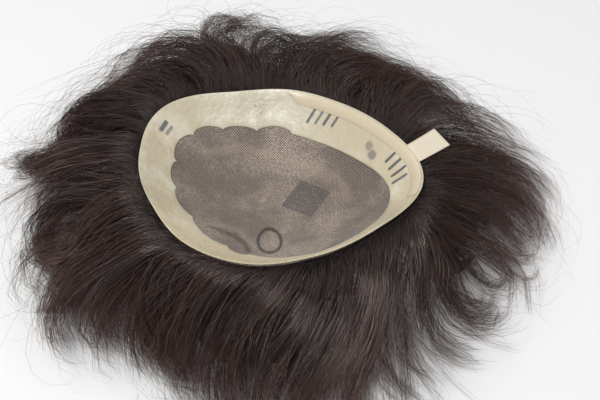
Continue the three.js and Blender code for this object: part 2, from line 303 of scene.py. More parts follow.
def borderEdge(bearing):
    # 1 less the border's width over the reach. Each scallop bites by a root of a sine arch.
    marks = np.array(border["scallops"])
    turn = np.mod(bearing, 360)
    lobe = np.clip(np.searchsorted(marks, turn, side="right") - 1, 0, len(marks) - 2)
    place = np.clip((turn - marks[lobe]) / (marks[lobe + 1] - marks[lobe]), 0, 1)
    bite = border["scallopDepth"] * np.sqrt(np.sin(np.pi * place).clip(0, 1))
    return 1 - (border["width"] * roundRim(2, bearing) - bite) / rimReach(bearing)


def buildBorder(material):
    # a band between the inner edge and the rim. Its thickness is an arch that rises fast at
    # both edges, so that they are rounded and the inner one is feathered. A ripple of two sines
    # and a lip at the rim are added.
    bearing = np.linspace(0, 360, border["around"], endpoint=False)
    edge = borderEdge(bearing)
    way = np.radians(bearing)
    u = 0.5 - 0.5 * np.cos(np.linspace(0, np.pi, border["across"]))
    share = edge + (border["reach"] - edge) * u[:, None]
    rise = np.sqrt(np.sin(np.clip(u, 0.004, 0.996) * np.pi))[:, None].clip(border["leastRise"], 1)
    rise = np.minimum(rise * border["fullness"], 1)
    ripple = border["ripple"] * np.sin(way * 23 + 3 * u[:, None]) * np.sin(way * 7)
    lip = border["lip"] * smoothStep(0.86, 1, u)[:, None]
    top = border["offset"] + border["thickness"] * rise + (ripple + lip) * rise
    upper = dishPoint(share, bearing[None, :], top)
    lower = dishPoint(share, bearing[None, :], np.full(share.shape, border["offset"]))
    points, faces = closedLoft(np.concatenate([upper, lower[::-1]]), joined=True)
    width = np.repeat(np.concatenate([u, u[::-1]]), len(bearing))
    piece = newPiece("borderFilm", points, faces, material, "skin", width=width)
    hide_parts("skin_border")


# net
net = {
    "thickness": 0.8,
    # it ends under the border, just short of the rim
    "reach": 0.978,
    "rings": 40,
    "around": 190,
    # folds pressed into the net: corners in plan, height and half width
    "folds": [
        ([(-33, -36), (-24, -30), (-15, -31), (-4, -44)], 1.4, 3),
        ([(-49, 26), (-29, 35), (-7, 33), (14, 28), (33, 17)], 0.6, 3),
        ([(24, 25), (35, 20), (43, 10), (46, 0)], 0.4, 2.4),
    ],
    "crease": [(-36, -36), (-27, -34), (-17, -35.5), (-9, -42), (-5, -50)],
    "patchCentre": (19.5, 3.2),
    "patchHalf": 11.2,
    "patchTurn": -0.42,
    "ringCentre": (4.1, -36.2),
    "ringSize": (6.8, 12.6),
    "ringTurn": 0.23,
    # the flat rectangle that it is cut from: the cloth's share of it, and its sides' shape
    "cutShare": 0.8,
    "cutShape": 0.9,
}


def buildNet(material):
    # the dish itself, twice, joined at the rim. It is raised along the folds by a bell curve of
    # the distance in plan, and it waves a little, but only clear of the border.
    bearing = np.linspace(0, 360, net["around"], endpoint=False)[None, :]
    share = np.sin(np.linspace(0.02, np.pi / 2, net["rings"]))[:, None] * net["reach"]
    flat = dishPoint(share, bearing, np.zeros((net["rings"], net["around"])))
    x, y = flat[..., 0], flat[..., 1]
    lift = 0.25 * np.sin(x / 9 + 1.3 * np.sin(y / 13)) * np.sin(y / 8 + 0.7) - 0.1
    # painted light: the net is drawn paler along the folds' ridges, by this number per point
    crest = 0 * x
    for corners, height, half in net["folds"]:
        bell = np.exp(-((distanceToLine(x, y, corners) / half) ** 2))
        lift = lift + height * bell
        crest = np.maximum(crest, bell)
    clear = 1 - smoothStep(-0.09, -0.01, share - borderEdge(bearing))
    lift = lift * clear
    upper = dishPoint(share, bearing, lift)
    lower = dishPoint(share, bearing, lift - net["thickness"])
    points, faces = closedLoft(np.concatenate([upper, lower[::-1]]))
    # painted shade: the number falls below 0 along the crease, where the net is drawn darker
    crest = crest - 2.4 * np.exp(-((distanceToLine(x, y, net["crease"]) / 1.7) ** 2))
    crest = (crest * clear).ravel()
    crest = np.concatenate([crest, crest, crest[:1], crest[:1]])
    piece = newPiece("netCloth", points, faces, material, "net", crest=crest)
    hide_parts("lace_net")


# tapes
tape = {"width": 5, "inset": 0.5, "offset": 1.3, "thickness": 0.22, "from": -8, "to": 91, "taper": 6,
        "steps": 160}



def buildEdgeTape(material):
    # a thin strip of rectangular section with rounded corners, swept along the rim
    bearing = np.linspace(tape["from"], tape["to"], tape["steps"])
    corners = np.array([(0, 0), (1, 0), (1.02, 0.5), (1, 1), (0.5, 1.12), (0, 1), (-0.02, 0.5)])
    taper = 0.25 + 0.75 * smoothStep(0, tape["taper"], tape["to"] - bearing)
    across = tape["inset"] + tape["width"] * taper[:, None] * (1 - corners[None, :, 0])
    share = 1 - across / rimReach(bearing)[:, None]
    offset = tape["offset"] + tape["thickness"] * corners[None, :, 1] * np.ones((len(bearing), 1))
    points, faces = closedLoft(dishPoint(share, bearing[:, None], offset))
    piece = newPiece("edgeTapeStrip", points, faces, material, "tape")
    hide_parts("edge_tape")


tab = {"bearing": 14.5, "heading": 40, "width": 15.2, "reach": 20, "grip": 7, "rise": 2.5, "offset": -1.35,
       "thickness": 0.6, "sag": 0.6, "across": 13, "gripPoints": 6, "freePoints": 13}


def buildTab(material):
    # the strip follows the underside of the dish to the rim, then runs straight out and rises
    # evenly, with a sag between its ends that is a parabola
    heading = np.radians(tab["heading"])
    out = np.array([np.cos(heading), np.sin(heading), 0])
    side = np.array([-out[1], out[0], 0])
    aslant = np.cos(np.radians(tab["heading"] - tab["bearing"]))
    perDegree = np.radians(1) * rimReach(tab["bearing"]) / aslant
    across = (np.linspace(-0.5, 0.5, tab["across"]) * tab["width"])[:, None]
    bearing = tab["bearing"] + across / perDegree
    layers = []
    for offset in (tab["offset"], tab["offset"] - tab["thickness"]):
        grip = np.linspace(1, 0, tab["gripPoints"])[None, :]
        share = 1 - grip * tab["grip"] / rimReach(bearing)
        held = dishPoint(share, bearing, np.full(share.shape, offset))
        t = np.linspace(0, 1, tab["freePoints"] + 1)[1:]
        end = dishPoint(1.0, float(tab["bearing"]), offset) + out * tab["reach"] + side * across
        end[:, 2] += tab["rise"]
        free = held[:, -1:] + (end[:, None] - held[:, -1:]) * t[None, :, None]
        free[..., 2] -= tab["sag"] * (t * (1 - t))[None, :]
        layers.append(np.concatenate([held, free], 1))
    points, faces = closedLoft(np.concatenate([layers[0], layers[1][::-1]]).transpose(1, 0, 2))
    piece = newPiece("tabStrip", points, faces, material, "tape")
    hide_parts("tape_tab")


# hair, from a table of locks
hair = {
    "length": 150,
    "lockThickness": 15,
    "rootDrop": 11,
    "rootInset": 14,
    "courseSteps": 48,
    "skirtReach": 48,
    # the mass under the locks: shares of its reach past the rim, and of the rim's height
    "slope": np.array([(0, 0.93), (0.05, 0.88), (0.3, 0.7), (0.6, 0.44), (0.86, 0.2), (1, 0)]),
    # how far the top strands rise beside the rim, and over what distance
    "rimSwell": 4,
    "rimSwellReach": 16,
    # by place in the table: how far apart the locks lie, how loose each is, and how far it waves
    "apart": np.array([
        (0, 1), (2, 0.9), (4, 0.4), (11, 0.5), (13, 1), (20, 1), (22, 0.5), (31, 0.4), (33, 1),
    ]),
    "loose": np.array([
        (0, 1), (10, 1), (12, 0.35), (20, 0.35), (23, 0.8), (26, 1.4), (31, 1.4), (33, 1),
    ]),
    "wave": np.array([
        (0, 5), (8, 5), (10, 7), (12, 11), (15, 12), (20, 10), (24, 8), (30, 7), (33, 5),
    ]),
    # by place: how much more the strands sweep round than the locks' own table says, and the
    # degrees that a full sweep adds to lean, sway and curl
    "sweep": np.array([
        (0, 0), (12, 0.1), (13, 0.4), (14, 0.1), (15, 1), (16, 1), (17, 0.6), (18, 0.5), (19, 0.4),
        (20, 0), (33, 0),
    ]),
    "sweepBend": (-26, 18, 26),
    # by place: how much paler the hair is
    "paler": np.array([
        (0, 0.1), (8, 0), (11, -0.35), (17, -0.4), (20, -0.1), (23, 0.3), (26, 0.8), (31, 0.9),
        (33, 0.1),
    ]),
    # the waves along one lock, and by how many waves they move on round the whole table
    "waves": 1.5,
    "phases": 10,
    # the waves up and down: their share of those sideways, and how much faster they run and move on
    "lift": (0.55, 1.2, 1.7),
    # degrees that lean, sway and curl turn back for each degree of a root beside its lock's own
    "gather": 1.7,
    # a strand's thickness at its tip, as a share of that at its root
    "tipThickness": 0.25,
    # strands start at this share of the rim's reach
    "hidden": 0.95,
    # how far a strand may pass the frame's own box
    "margin": 13,
    # root, lean, sway and curl in degrees, then shares: length, arch, tip
    "locks": np.array([
        (-12, -40, -88, -70, 0.8, 0.1, 0.08), (-26, -12, -82, -62, 0.82, 0.14, 0.07),
        (-40, 4, -70, -52, 0.84, 0.12, 0.06), (-53, 10, -62, -34, 0.86, 0.12, 0.07),
        (-65, -36, -54, 30, 0.74, 0.2, 0.08), (-76, -62, -62, 66, 0.7, 0.22, 0.07),
        (-88, -58, -62, -10, 0.66, 0.18, 0.06), (-98, -62, -26, 90, 0.62, 0.2, 0.06),
        (-107, -64, -50, 40, 0.72, 0.18, 0.07), (-118, -56, -36, 34, 0.88, 0.18, 0.07),
        (-130, -46, -14, -84, 0.66, 0.14, 0.1), (-141, -32, -12, -80, 0.74, 0.12, 0.1),
        (-154, -22, -5, 190, 0.85, 0.14, 0.2), (-168, -6, -24, 42, 0.76, 0.12, 0.14),
        (-182, 0, 6, -52, 0.86, 0.16, 0.18), (-193, -10, 5, 54, 0.76, 0.16, 0.12),
        (-203, -14, 28, 72, 0.84, 0.16, 0.12), (-212, -22, 38, 96, 0.92, 0.18, 0.16),
        (-220, -42, 38, 122, 1.08, 0.18, 0.22), (-229, -40, 26, 116, 1.08, 0.18, 0.24),
        (-239, -24, 10, 74, 0.86, 0.18, 0.32), (-249, -4, 6, -112, 1, 0.18, 0.36),
        (-260, 16, -18, -80, 0.88, 0.16, 0.34), (-272, 40, -28, -58, 0.95, 0.16, 0.28),
        (-285, 60, -24, -62, 1.02, 0.14, 0.22), (-298, 72, -8, -68, 0.98, 0.14, 0.2),
        (-310, 70, 4, -70, 0.92, 0.12, 0.2), (-322, 74, 26, -52, 0.84, 0.06, 0.2),
        (-336, 40, 22, -76, 0.98, 0.1, 0.12), (-347, 18, 18, -80, 0.88, 0.1, 0.1),
        (-355, 22, 6, -86, 0.8, 0.1, 0.08), (-362, 6, 22, 4, 0.72, 0.12, 0.06),
        (-368, -30, -6, 44, 0.66, 0.1, 0.06),
    ]),
}


def byPlace(key, place):
    # a setting that changes from lock to lock, straight between its own rows
    return np.interp(np.mod(place, len(hair["locks"])), *hair[key].T)


def fromMiddle(x, y):
    # how far out a place lies in plan, and its bearing
    return np.hypot(x, y), np.degrees(np.arctan2(y, x))


def mixedRows(place):
    # the table's rows at any place round it: a straight mix of the two nearest rows
    rows = hair["locks"]
    count = len(rows)
    low = np.floor(place).astype(int)
    t = (place - low)[:, None]
    here, there = rows[low % count].copy(), rows[(low + 1) % count].copy()
    here[:, 0] -= 360 * (low // count)
    there[:, 0] -= 360 * ((low + 1) // count)
    return here + (there - here) * t


def lockRows(place):
    # the mix is held towards the nearer row by the square of the distance from it, and most so
    # where the locks lie well apart. Roots stay evenly spread, and lean in towards the tip.
    off = place - np.round(place)
    apart = byPlace("apart", place)
    rows = mixedRows(np.round(place) + off * (1 - apart + 4 * apart * off**2))
    shift = mixedRows(place)[:, 0] - rows[:, 0]
    rows[:, 0] += shift
    rows[:, 1:4] -= hair["gather"] * shift[:, None]
    return rows


def courses(rows, turn):
    # the middle line of each lock. Its heading bends through lean, sway and curl as a parabola,
    # and turns further over its outer half, by the square of the way. Its height eases from the
    # root to the tip over an arch.
    root, lean, sway, curl, length, arch, tip = rows.T[..., None]
    steps = hair["courseSteps"]
    s = np.linspace(0, 1, steps + 1)[None, :]
    m = s + 0.5 / steps
    bend = lean * (1 - m) * (1 - 2 * m) + 4 * sway * m * (1 - m) + curl * m * (2 * m - 1)
    way = np.radians(root + (bend + turn[:, None] * np.clip(2 * m - 1, 0, 1) ** 2))
    step = length * hair["length"] / steps
    start = rimReach(root) - hair["rootInset"]
    plan = []
    for wave in (np.cos, np.sin):
        walked = np.cumsum(step * wave(way), 1)[:, :-1]
        plan.append(start * wave(np.radians(root)) + np.concatenate([np.zeros((len(root), 1)), walked], 1))
    ease = s * s * (3 - 2 * s)
    high = rimLevel(root) - hair["rootDrop"]
    low = tip * dish["rimHeight"]
    z = high + (low - high) * ease + 4 * (arch * dish["rimHeight"]) * s * (1 - s)
    return np.stack([*plan, z], -1)


def sampled(lines, row, share):
    # the point at a share of the way along each chosen line, straight between its points
    steps = lines.shape[1] - 1
    place = np.clip(share, 0, 1) * steps
    low = np.minimum(place.astype(int), steps - 1)
    t = (place - low)[..., None]
    return lines[row[:, None], low] * (1 - t) + lines[row[:, None], low + 1] * t


def framesAlong(lines):
    # the way ahead at each point, the level direction across it, and the one square to both
    ahead = np.gradient(lines, axis=1)
    ahead /= np.linalg.norm(ahead, axis=-1, keepdims=True) + 1e-9
    side = np.stack([-ahead[..., 1], ahead[..., 0], np.zeros(ahead.shape[:2])], -1)
    side /= np.linalg.norm(side, axis=-1, keepdims=True) + 1e-9
    return ahead, side, np.cross(ahead, side)


def bundleLines(place, rows, level, shift, turn):
    # the middle lines of bundles in the locks: each course, raised or sunk by its level in the
    # lock's thickness, and bent by slow waves whose phase moves on evenly round the rim. The
    # upper ones swell up near the rim by a bell curve of the distance from it.
    lines = courses(rows, turn)
    _, side, up = framesAlong(lines)
    s = np.linspace(0, 1, lines.shape[1])[None, :]
    middle = np.round(place) + (place - np.round(place)) * byPlace("loose", place)
    phase = (hair["phases"] * middle / len(hair["locks"]) + shift)[:, None]
    wave = byPlace("wave", place)[:, None]
    sway = wave * (0.2 + s) * np.sqrt(s) * np.sin(math.tau * (hair["waves"] * s + phase))
    lift = 0.5 * hair["lockThickness"] * level[:, None] * (0.45 + 0.55 * np.sin(np.pi * s))
    share, faster, onward = hair["lift"]
    lift = lift + share * wave * s * np.sin(math.tau * (faster * hair["waves"] * s + onward * phase))
    distance, bearing = fromMiddle(lines[..., 0], lines[..., 1])
    near = np.exp(-(((distance - rimReach(bearing)) / hair["rimSwellReach"]) ** 2))
    lift = lift + hair["rimSwell"] * np.clip(level[:, None], 0, 1) * near
    return lines + side * sway[..., None] + up * lift[..., None]


def massLevel(x, y):
    # the height of the mass at a place in plan: the slope's line over the way out from the rim
    distance, bearing = fromMiddle(x, y)
    out = (distance - rimReach(bearing)) / (hair["skirtReach"] * roundRim(3, bearing))
    return np.interp(out, *hair["slope"].T) * rimLevel(bearing)


# the room that the hair has, between the mass and the floor and the dish and the tab
room = {
    "soften": 1.5,
    "floorGap": 0.25,
    "dishGap": 2.2,
    # the share of the rim's reach where the roof begins to climb, and how much for a millimetre
    "climbFrom": 1.03,
    "climb": 0.7,
    "tabGap": 3.2,
    # how far the roof under the tab goes past its ends and its sides
    "pastEnds": 2,
    "pastSides": 1,
}


def keepOut(lines, gap):
    # hair lies on the mass and the floor: its height runs into theirs as the logarithm of a sum
    # of powers does. Inside the rim it stays under the base, and outside it under the tab.
    x, y, z = np.moveaxis(lines, -1, 0)
    distance, bearing = fromMiddle(x, y)
    reach = rimReach(bearing)
    ground = massLevel(x, y) + gap
    z = ground + room["soften"] * np.logaddexp(0, (z - ground) / room["soften"])
    roof = dishLevel(np.minimum(distance / reach, 1.0), bearing) - room["dishGap"]
    roof = roof + room["climb"] * np.maximum(distance - room["climbFrom"] * reach, 0)
    heading = np.radians(tab["heading"])
    root = dishPoint(1.0, float(tab["bearing"]))
    along = (x - root[0]) * np.cos(heading) + (y - root[1]) * np.sin(heading)
    across = (y - root[1]) * np.cos(heading) - (x - root[0]) * np.sin(heading)
    underTab = (along > -room["pastEnds"]) & (along < tab["reach"] + room["pastEnds"])
    underTab = underTab & (np.abs(across) < tab["width"] / 2 + room["pastSides"])
    roof = np.where(underTab, np.minimum(roof, root[2] - room["tabGap"]), roof)
    return np.stack([x, y, np.maximum(np.minimum(z, roof), room["floorGap"])], -1)


def strandMesh(lines, radius):
    # a three-sided tube round each line. Its radius falls from the root by the square of the way
    # along, and it ends in one point.
    count, points = lines.shape[:2]
    s = np.linspace(0, 1, points)[None, :-1]
    size = radius[:, None] * (1 - (1 - hair["tipThickness"]) * s**2)
    _, side, up = framesAlong(lines)
    turn = np.arange(3) * math.tau / 3
    ring = lines[:, :-1, None] + size[..., None, None] * (
        side[:, :-1, None] * np.cos(turn)[:, None] + up[:, :-1, None] * np.sin(turn)[:, None])
    body = ring.reshape(count, -1, 3)
    every = np.concatenate([body, lines[:, -1:]], 1)
    tip = body.shape[1]
    i, j = np.meshgrid(np.arange(points - 2), np.arange(3), indexing="ij")
    i, j = i.ravel(), j.ravel()
    k = (j + 1) % 3
    a, b, c, d = i * 3 + j, i * 3 + k, i * 3 + 3 + k, i * 3 + 3 + j
    last = (points - 2) * 3
    j, k = np.arange(3), np.array([1, 2, 0])
    faces = np.concatenate([
        np.stack([a, b, c], 1), np.stack([a, c, d], 1),
        np.stack([last + j, last + k, np.full(3, tip)], 1), np.array([[2, 1, 0]])])
    faces = (faces[None] + (np.arange(count) * every.shape[1])[:, None, None]).reshape(-1, 3)
    share = np.concatenate([np.repeat(s[0], 3), [1.0]])
    return every.reshape(-1, 3), faces, np.tile(share, count)


def visibleStart(lines):
    # the share of each line's way at which it comes out from under the rim
    distance, bearing = fromMiddle(lines[..., 0], lines[..., 1])
    out = distance > hair["hidden"] * rimReach(bearing)
    return out.argmax(1)[:, None] / (lines.shape[1] - 1)


def insideBox(lines):
    # the share of each line's way at which it would pass the frame's box by the margin
    low, high = (np.array(corner) * 1000 for corner in cadBox)
    outside = ((lines < low - hair["margin"]) | (lines > high + hair["margin"]))[..., :2].any(-1)
    steps = lines.shape[1] - 1
    return np.where(outside.any(1), outside.argmax(1) - 1, steps)[:, None] / steps


def buildHairs(name, lines, radius, tone, material):
    points, faces, share = strandMesh(lines, radius)
    tone = np.repeat(tone, len(points) // len(lines))
    newPiece(name, points, faces, material, "hair", tone=tone, along=share)
    print(name, "strands", len(lines), "triangles", len(faces))


# strands in wisps and clumps
strand = {
    # piece, share of all the strands and clumps, and its places in the table
    "pieces": [
        ("strandsNear", 0.255, (-0.7, 8)), ("strandsLeft", 0.26, (7.5, 16.5)),
        ("strandsFar", 0.24, (16, 25.5)), ("strandsRight", 0.245, (25, 32.6)),
    ],
    "count": 14000,
    "clumps": 420,
    "wisps": 5,
    "steps": 9,
    "radius": 0.145,
    # how far clumps spread: root, lean with sway, and curl in degrees, and phase
    "clumpSpread": (1.4, 4, 10, 0.05),
    # the share of clumps that leave their lock and cover the gaps, and how much more they spread
    "stray": (0.12, 3),
    # the share of clumps that lie low between the locks and hide the mass, their length and level
    "coverShare": 0.12,
    "coverLength": (0.45, 0.75),
    "coverLevel": (-0.6, 0.2),
    # degrees that the tips turn on
    "tipTurn": (30, 95),
    # how far wisps spread in their clump and strands in their wisp, across and up
    "wispSpread": (3.2, 1.7),
    "spread": (2.1, 1.1),
    # how far the tone differs between clumps, wisps and strands, and the share of strands drawn pale as
    # painted highlights
    "tones": (0.3, 0.25, 0.6),
    "glintStrandShare": 0.07,
}


def growClumps(count, places):
    # clumps follow the locks. The further a lock's looseness is from 1, the more it lies higher or lower,
    # curls more or less and is paler or darker than others, by a sine of its number. The higher locks are
    # the paler ones: painted light on the raised locks and painted shade on the sunk ones.
    root, way, curl, phase = strand["clumpSpread"]
    strayShare, strayTimes = strand["stray"]
    place = rng.uniform(*places, count)
    loose = byPlace("loose", place)
    bold = (1 - loose) * np.sin(2.4 * np.round(place))
    rows = lockRows(place)
    rows[:, 0] += rng.normal(0, root, count)
    rows[:, 1:4] += byPlace("sweep", place)[:, None] * hair["sweepBend"]
    stray = loose * np.where(rng.random(count) < strayShare, strayTimes, 1)
    rows[:, 1:3] += rng.normal(0, way, (count, 1)) * stray[:, None]
    rows[:, 3] += rng.normal(0, curl, count) * stray
    level = 1 - 1.5 * rng.random(count) + 0.8 * bold
    cover = rng.random(count) < strand["coverShare"]
    rows[cover] = np.mean([lockRows(place[cover] + k) for k in (-2, -1, 0, 1, 2)], 0)
    rows[cover, 4] = rng.uniform(*strand["coverLength"], cover.sum())
    level[cover] = rng.uniform(*strand["coverLevel"], cover.sum())
    shift = rng.normal(0, phase, count)
    share = 0.5 + 0.5 * bold + rng.uniform(-0.5, 0.5, count) * loose
    turn = np.interp(share, (0, 1), strand["tipTurn"]) * (1 + 0.7 * (1 - loose))
    turn = turn * np.sign(rows[:, 3] - rows[:, 2])
    return place, loose, rows, level, shift, turn, 0.5 * bold + byPlace("paler", place)


def growStrands(count, clumpCount, places):
    # wisps stray a little from their clump, and strands lie round their wisp. Both draw together
    # towards the tip, and some strands swing out there by the square of the way.
    place, loose, rows, level, shift, turn, clumpTone = growClumps(clumpCount, places)
    wispCount = clumpCount * strand["wisps"]
    clump = np.repeat(np.arange(clumpCount), strand["wisps"])
    loose = loose[clump, None, None]
    rows = rows[clump]
    rows[:, 1:3] += rng.normal(0, 1.5, (wispCount, 1))
    rows[:, 4] *= rng.uniform(0.86, 1.05, wispCount)
    turn = turn[clump] + rng.normal(0, 18, wispCount) * loose[:, 0, 0]
    lines = bundleLines(place[clump], rows, level[clump], shift[clump], turn)
    _, side, up = framesAlong(lines)
    s = np.linspace(0, 1, lines.shape[1])[:, None]
    narrow = 1 - (0.85 - 0.25 * loose) * s**2
    offset = rng.normal(0, 1, (wispCount, 1, 2)) * strand["wispSpread"] * narrow * (0.6 + 0.4 * loose)
    lines = lines + side * offset[..., :1] + up * offset[..., 1:]

    wisp = rng.integers(0, wispCount, count)
    end = np.minimum(1 - 0.3 * rng.random((count, 1)) ** 3, insideBox(lines)[wisp])
    start = visibleStart(lines)[wisp]
    share = start + (end - start) * np.linspace(0, 1, strand["steps"] + 1)
    path = sampled(lines, wisp, share)
    _, side, up = framesAlong(path)
    own = rng.normal(0, 1, (count, 1, 2)) * strand["spread"] * (1.1 - 0.8 * share[..., None] ** 1.5)
    swing = rng.normal(0, 1, (count, 1)).clip(-2, 2) ** 3 * share**2 * (0.5 + 0.5 * loose[wisp, :, 0])
    ripples = rng.uniform(1.5, 3, (count, 1)) * share + rng.uniform(0, 1, (count, 1))
    ripple = 0.3 * share * np.sin(math.tau * ripples)
    path = path + side * (own[..., 0] + swing + ripple)[..., None] + up * own[..., 1:]
    path = keepOut(path, 0.3 + 4.5 * rng.random((count, 1)) ** 2)
    byClump, byWisp, byStrand = strand["tones"]
    tone = rng.normal(0, byClump, clumpCount)[clump][wisp] + rng.normal(0, byWisp, wispCount)[wisp]
    tone = tone + rng.normal(0, byStrand, count) + clumpTone[clump][wisp]
    # painted highlights: a few strands are made much paler
    return path, tone + 2 * (rng.random(count) < strand["glintStrandShare"])


def buildStrands(material):
    for name, share, places in strand["pieces"]:
        count = int(share * strand["count"])
        path, tone = growStrands(count, int(share * strand["clumps"]), places)
        radius = strand["radius"] * rng.uniform(0.75, 1.15, count)
        buildHairs(name, path, radius, tone, material)


# flyaways: single strands that leave the locks
flyaway = {
    "count": 1500,
    "steps": 15,
    "radius": 0.085,
    # how far they spread: root, lean and sway, and curl in degrees, then shares of length and tip
    "spread": (4, 12, 30),
    "length": (0.7, 1.22),
    "tip": (0.4, 1.8),
    "turn": (-20, 190),
    # how far they may rise over the frame's own box
    "rise": 9,
}


def buildFlyaways(material):
    # they spread wider than the strands, their ends curl right round, and they are thinner
    count = flyaway["count"]
    root, way, curl = flyaway["spread"]
    place = rng.uniform(0, len(hair["locks"]), count)
    rows = lockRows(place)
    rows[:, 0] += rng.normal(0, root, count)
    rows[:, 1:3] += rng.normal(0, way, (count, 2))
    rows[:, 3] += rng.normal(0, curl, count)
    rows[:, 4] *= rng.uniform(*flyaway["length"], count)
    rows[:, 6] *= rng.uniform(*flyaway["tip"], count)
    turn = np.sign(rows[:, 3] - rows[:, 2]) * rng.uniform(*flyaway["turn"], count)
    lines = bundleLines(place, rows, rng.uniform(-0.2, 1.6, count), rng.normal(0, 0.2, count), turn)
    s = np.linspace(0, 1, lines.shape[1])[None, :]
    _, side, _ = framesAlong(lines)
    ripples = rng.uniform(1, 2.8, (count, 1)) * s + rng.uniform(0, 1, (count, 1))
    sway = 4 * s**1.3 * np.sin(math.tau * ripples)
    lines = lines + side * sway[..., None]
    start, end = visibleStart(lines), insideBox(lines)
    share = start + (end - start) * np.linspace(0, 1, flyaway["steps"] + 1)
    path = keepOut(sampled(lines, np.arange(count), share), 0.3 + 7.0 * rng.random((count, 1)) ** 2)
    path[..., 2] = np.minimum(path[..., 2], cadBox[1][2] * 1000 + flyaway["rise"])
    radius = flyaway["radius"] * rng.uniform(0.7, 1.2, count)
    buildHairs("flyaways", path, radius, rng.normal(0.5, 0.8, count), material)


# the dark hair behind the strands
under = {
    "around": 400,
    "across": 16,
    "sink": 5,
    # its reach as a share of the mass's, and where it is thinner
    "reach": 0.8,
    "thinBearing": -27,
    "thinHalf": 26,
    "thinBy": 0.5,
    # the bodies: their places beside each row of the table, level and size
    "bodyPlaces": (-0.2, 0, 0.2),
    "bodyLevel": -0.3,
    "bodyLength": 0.62,
    "bodyWidth": 8,
    "bodyThickness": 5,
    "bodySides": 10,
    "bodySteps": 16,
}


def underSlope():
    # a slope round the base with grooves of two sines, from a lid below the dish to a hem on
    # the floor. Its ragged edge is a product of two sines, thinned by a bell curve of the bearing.
    bearing = np.linspace(0, 360, under["around"], endpoint=False)[None, :]
    way = np.radians(bearing)
    t = np.linspace(0, 1, under["across"])[:, None]
    ragged = 1 + 0.12 * np.sin(way * 17 + 2) * np.sin(way * 41)
    aside = np.mod(bearing + 180, 360) - 180 - under["thinBearing"]
    thin = 1 - under["thinBy"] * np.exp(-((aside / under["thinHalf"]) ** 2))
    out = under["reach"] * thin * ragged * t
    groove = 0.6 * np.sin(way * 90 + 7 * t) + 0.8 * np.sin(way * 31 + 4 * t)
    reach = rimReach(bearing) + out * hair["skirtReach"] * roundRim(3, bearing)
    reach = reach + groove * np.sin(np.pi * t)
    level = np.interp(out, *hair["slope"].T) * rimLevel(bearing) - under["sink"]
    side = np.stack([reach * np.cos(way), reach * np.sin(way), np.maximum(level, 0.2)], -1)
    hem = side[-1:] * (0.97, 0.97, 0) + (0, 0, 0.1)
    rings = np.array([0.05, 0.3, 0.55, 0.75, 0.9, 0.985])[:, None]
    lid = dishPoint(rings, bearing, np.full((len(rings), under["around"]), -2.6))
    points, faces = closedLoft(np.concatenate([lid, side, hem]))
    across = fromMiddle(points[:, 0], points[:, 1])[1] * 1.5
    return points, faces, across, np.full(len(points), 0.15)


def underBodies():
    # thin bodies of oval section that lie in the locks and run out to a point
    place = np.add.outer(np.arange(len(hair["locks"])), under["bodyPlaces"]).ravel()
    rows = lockRows(place)
    rows[:, 4] *= under["bodyLength"]
    still = np.zeros(len(place))
    lines = bundleLines(place, rows, still + under["bodyLevel"], still, still)
    lines = lines[:, np.linspace(0, hair["courseSteps"], under["bodySteps"] + 1).astype(int)]
    _, side, up = framesAlong(lines)
    s = np.linspace(0, 1, under["bodySteps"] + 1)[:-1]
    swell = (0.7 + 0.3 * np.sin(np.pi * s)) * (1 - s**2)
    turn = np.arange(under["bodySides"]) * math.tau / under["bodySides"]
    wide = (0.5 * under["bodyWidth"] * swell[:, None] * np.cos(turn))[..., None]
    thick = (0.5 * under["bodyThickness"] * swell[:, None] * np.sin(turn))[..., None]
    share = np.concatenate([np.repeat(s, len(turn)), [0, 1]]) * 0.7
    parts = []
    for order, (line, sideWay, upWay) in enumerate(zip(lines, side, up)):
        body = line[:-1, None] + sideWay[:-1, None] * wide + upWay[:-1, None] * thick
        points, faces = closedLoft(keepOut(body, 0.1))
        across = np.concatenate([np.tile(turn * 3 + 40 * order, len(s)), [0, 0]])
        parts.append((points, faces, across, share))
    return parts


def buildUnderHair(material):
    # each part is points, faces, and two numbers per point for the streaks: across counts
    # millimetres over the grain, and along is the share of the way along it
    parts = [underSlope(), *underBodies()]
    starts = np.cumsum([0] + [len(part[0]) for part in parts])
    faces = np.concatenate([part[1] + start for part, start in zip(parts, starts)])
    points, across, along = (np.concatenate([part[k] for part in parts]) for k in (0, 2, 3))
    piece = newPiece("underHair", points, faces, material, "hair", across=across, along=along)
    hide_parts("hair")
    print("under hair triangles", len(faces))


# materials
def hairMaterial():
    material, tree, surface = newMaterial("hairFibre", {"Specular IOR Level": 1.0,
                                                        "Specular Tint": (1, 0.85, 0.81, 1)})
    tone, share = perPoint(tree, "tone"), perPoint(tree, "along")
    # the strands grow redder and paler towards their tips: partly the hair's own colour, partly painted
    # light shining through the thin ends
    tips = rangeOf(tree, share, 0.4, 1.0)
    roots = rangeOf(tree, share, 0.02, 0.24, 1.0, 0.0)
    dark = mixColour(tree, tips, (0.007, 0.0042, 0.0037, 1), (0.036, 0.0165, 0.0135, 1))
    pale = mixColour(tree, tips, (0.115, 0.068, 0.055, 1), (0.19, 0.09, 0.068, 1))
    colour = mixColour(tree, rangeOf(tree, tone, -1.0, 2.3), dark, pale)
    # painted shade: the strands are drawn near black where they come out from under the rim
    colour = mixColour(tree, maths(tree, "MULTIPLY", roots, 0.8), colour, (0.003, 0.0018, 0.0015, 1))
    tree.links.new(colour, surface.inputs["Base Color"])
    gloss = rangeOf(tree, tone, -1.5, 1.5, 0.25, 0.15)
    tree.links.new(maths(tree, "MULTIPLY_ADD", roots, 0.5, gloss), surface.inputs["Roughness"])
    return material


